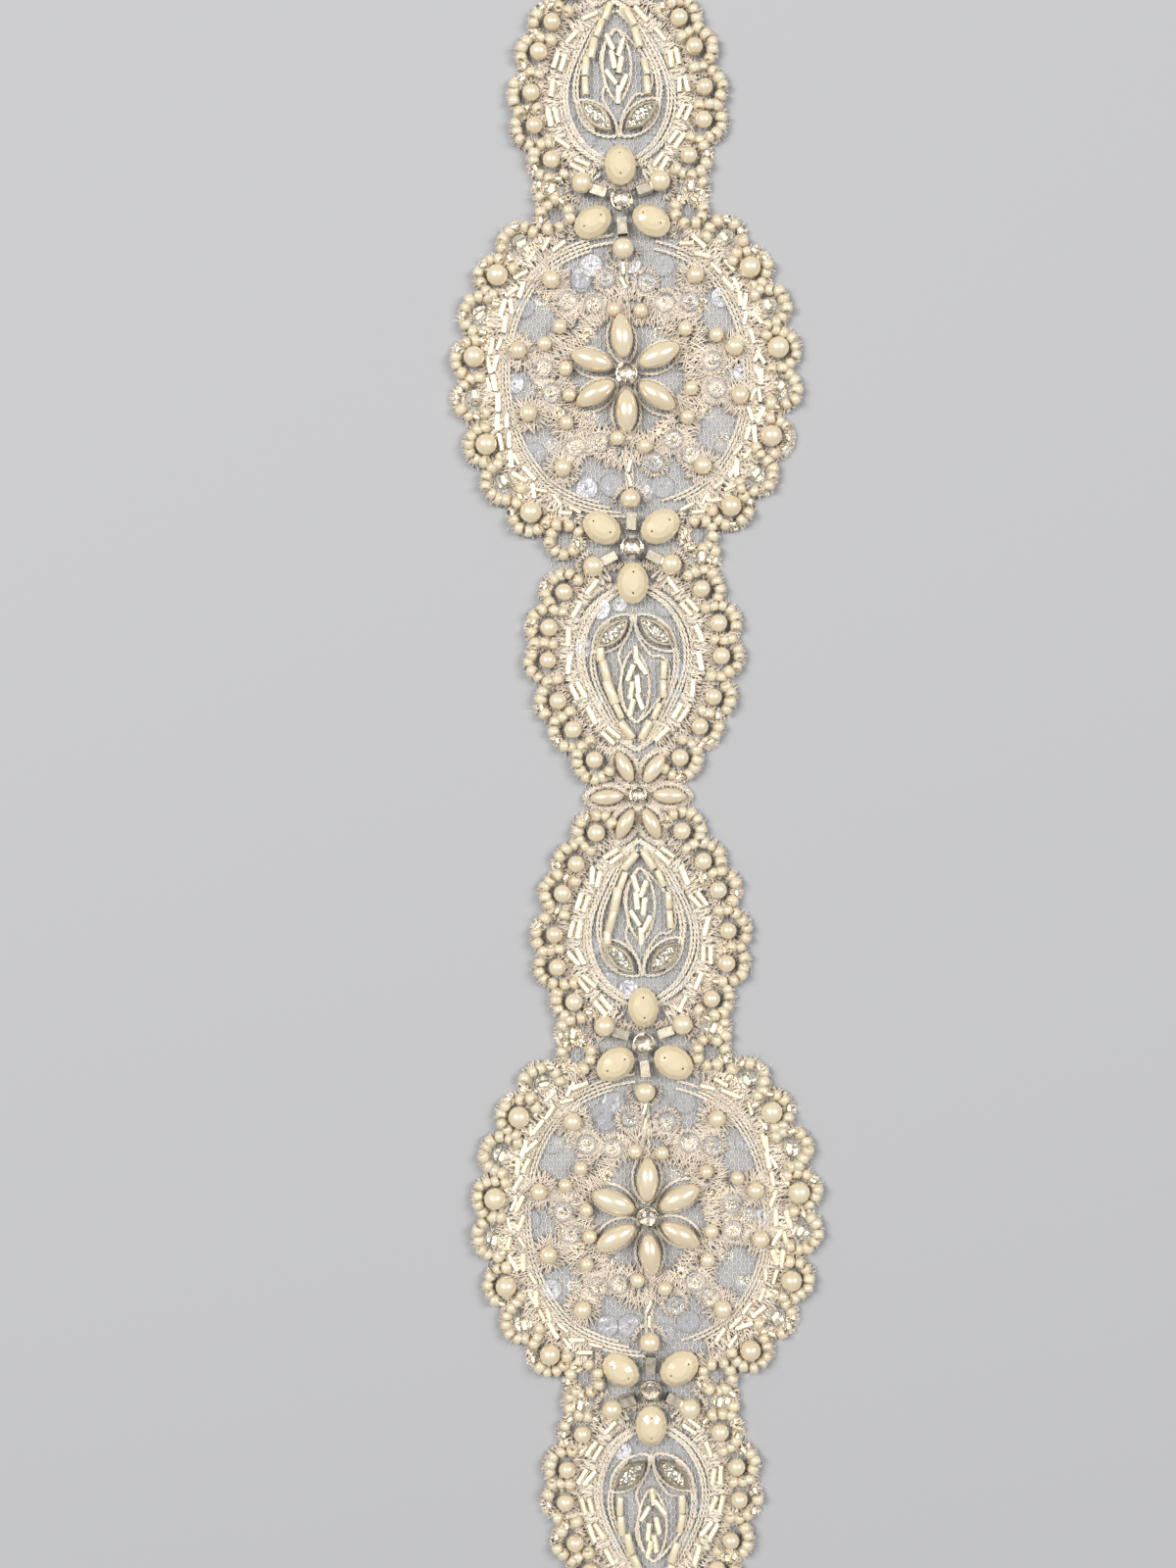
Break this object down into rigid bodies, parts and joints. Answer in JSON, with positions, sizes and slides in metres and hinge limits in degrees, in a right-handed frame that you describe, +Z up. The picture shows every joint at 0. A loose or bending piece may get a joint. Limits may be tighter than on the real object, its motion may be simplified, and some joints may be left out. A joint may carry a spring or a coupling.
{
  "type": "beaded sequin trim",
  "caption": "Cut length of scalloped net trim, round and leaf-shaped medallions in turn, embroidered and sewn with pearl flowers, milky oval stones, crystals, glass beads and clear sequins",
  "frame": {"origin": "middle of the underside, below the middle flower", "axes": "+Y along the trim, +X across it, +Z up from the surface it lies on"},
  "size_m": [0.0658, 0.3354, 0.0056],
  "materials": {
    "net": "fine off-white net, matt",
    "embroidery": "ecru thread with a slight sheen",
    "pearl": "golden ivory pearl lustre",
    "milky_stone": "opaque cream, faceted, glossy",
    "crystal": "clear cut glass with a silvered back",
    "silver": "dulled silver cups and settings",
    "seed_bead": "cream pearlised glass seed beads",
    "clear_bead": "clear glass bugles and beads with a silver lining",
    "sequin": "clear sequins with a pale iridescent film"
  },
  "bodies": {
    "root": {"net_ground": "net", "flower_1_petal_1": "pearl", "flower_1_petal_2": "pearl", "flower_1_petal_3": "pearl", "flower_1_petal_4": "pearl", "flower_1_petal_5": "pearl", "flower_1_petal_6": "pearl", "flower_1_crystal": "crystal", "flower_2_petal_1": "pearl", "flower_2_petal_2": "pearl", "flower_2_petal_3": "pearl", "flower_2_petal_4": "pearl", "flower_2_petal_5": "pearl", "flower_2_petal_6": "pearl", "flower_2_crystal": "crystal", "flower_3_petal_1": "pearl", "flower_3_petal_2": "pearl", "flower_3_petal_3": "pearl", "flower_3_petal_4": "pearl", "flower_3_petal_5": "pearl", "flower_3_petal_6": "pearl", "flower_3_crystal": "crystal", "star_1_petal_1": "pearl", "star_1_petal_2": "pearl", "star_1_petal_3": "pearl", "star_1_petal_4": "pearl", "star_1_petal_5": "pearl", "star_1_petal_6": "pearl", "star_1_crystal": "crystal", "star_2_petal_1": "pearl", "star_2_petal_2": "pearl", "star_2_petal_3": "pearl", "star_2_petal_4": "pearl", "star_2_petal_5": "pearl", "star_2_petal_6": "pearl", "star_2_crystal": "crystal", "rosette_1_stone_1": "milky_stone", "rosette_1_stone_2": "milky_stone", "rosette_1_stone_3": "milky_stone", "rosette_1_crystal": "crystal", "rosette_2_stone_1": "milky_stone", "rosette_2_stone_2": "milky_stone", "rosette_2_stone_3": "milky_stone", "rosette_2_crystal": "crystal", "rosette_3_stone_1": "milky_stone", "rosette_3_stone_2": "milky_stone", "rosette_3_stone_3": "milky_stone", "rosette_3_crystal": "crystal", "rosette_4_stone_1": "milky_stone", "rosette_4_stone_2": "milky_stone", "rosette_4_stone_3": "milky_stone", "rosette_4_crystal": "crystal", "leaf_1_navette_left": "crystal", "leaf_1_navette_right": "crystal", "leaf_2_navette_left": "crystal", "leaf_2_navette_right": "crystal", "leaf_3_navette_left": "crystal", "leaf_3_navette_right": "crystal", "leaf_4_navette_left": "crystal", "leaf_4_navette_right": "crystal"}
  },
  "joints": []
}
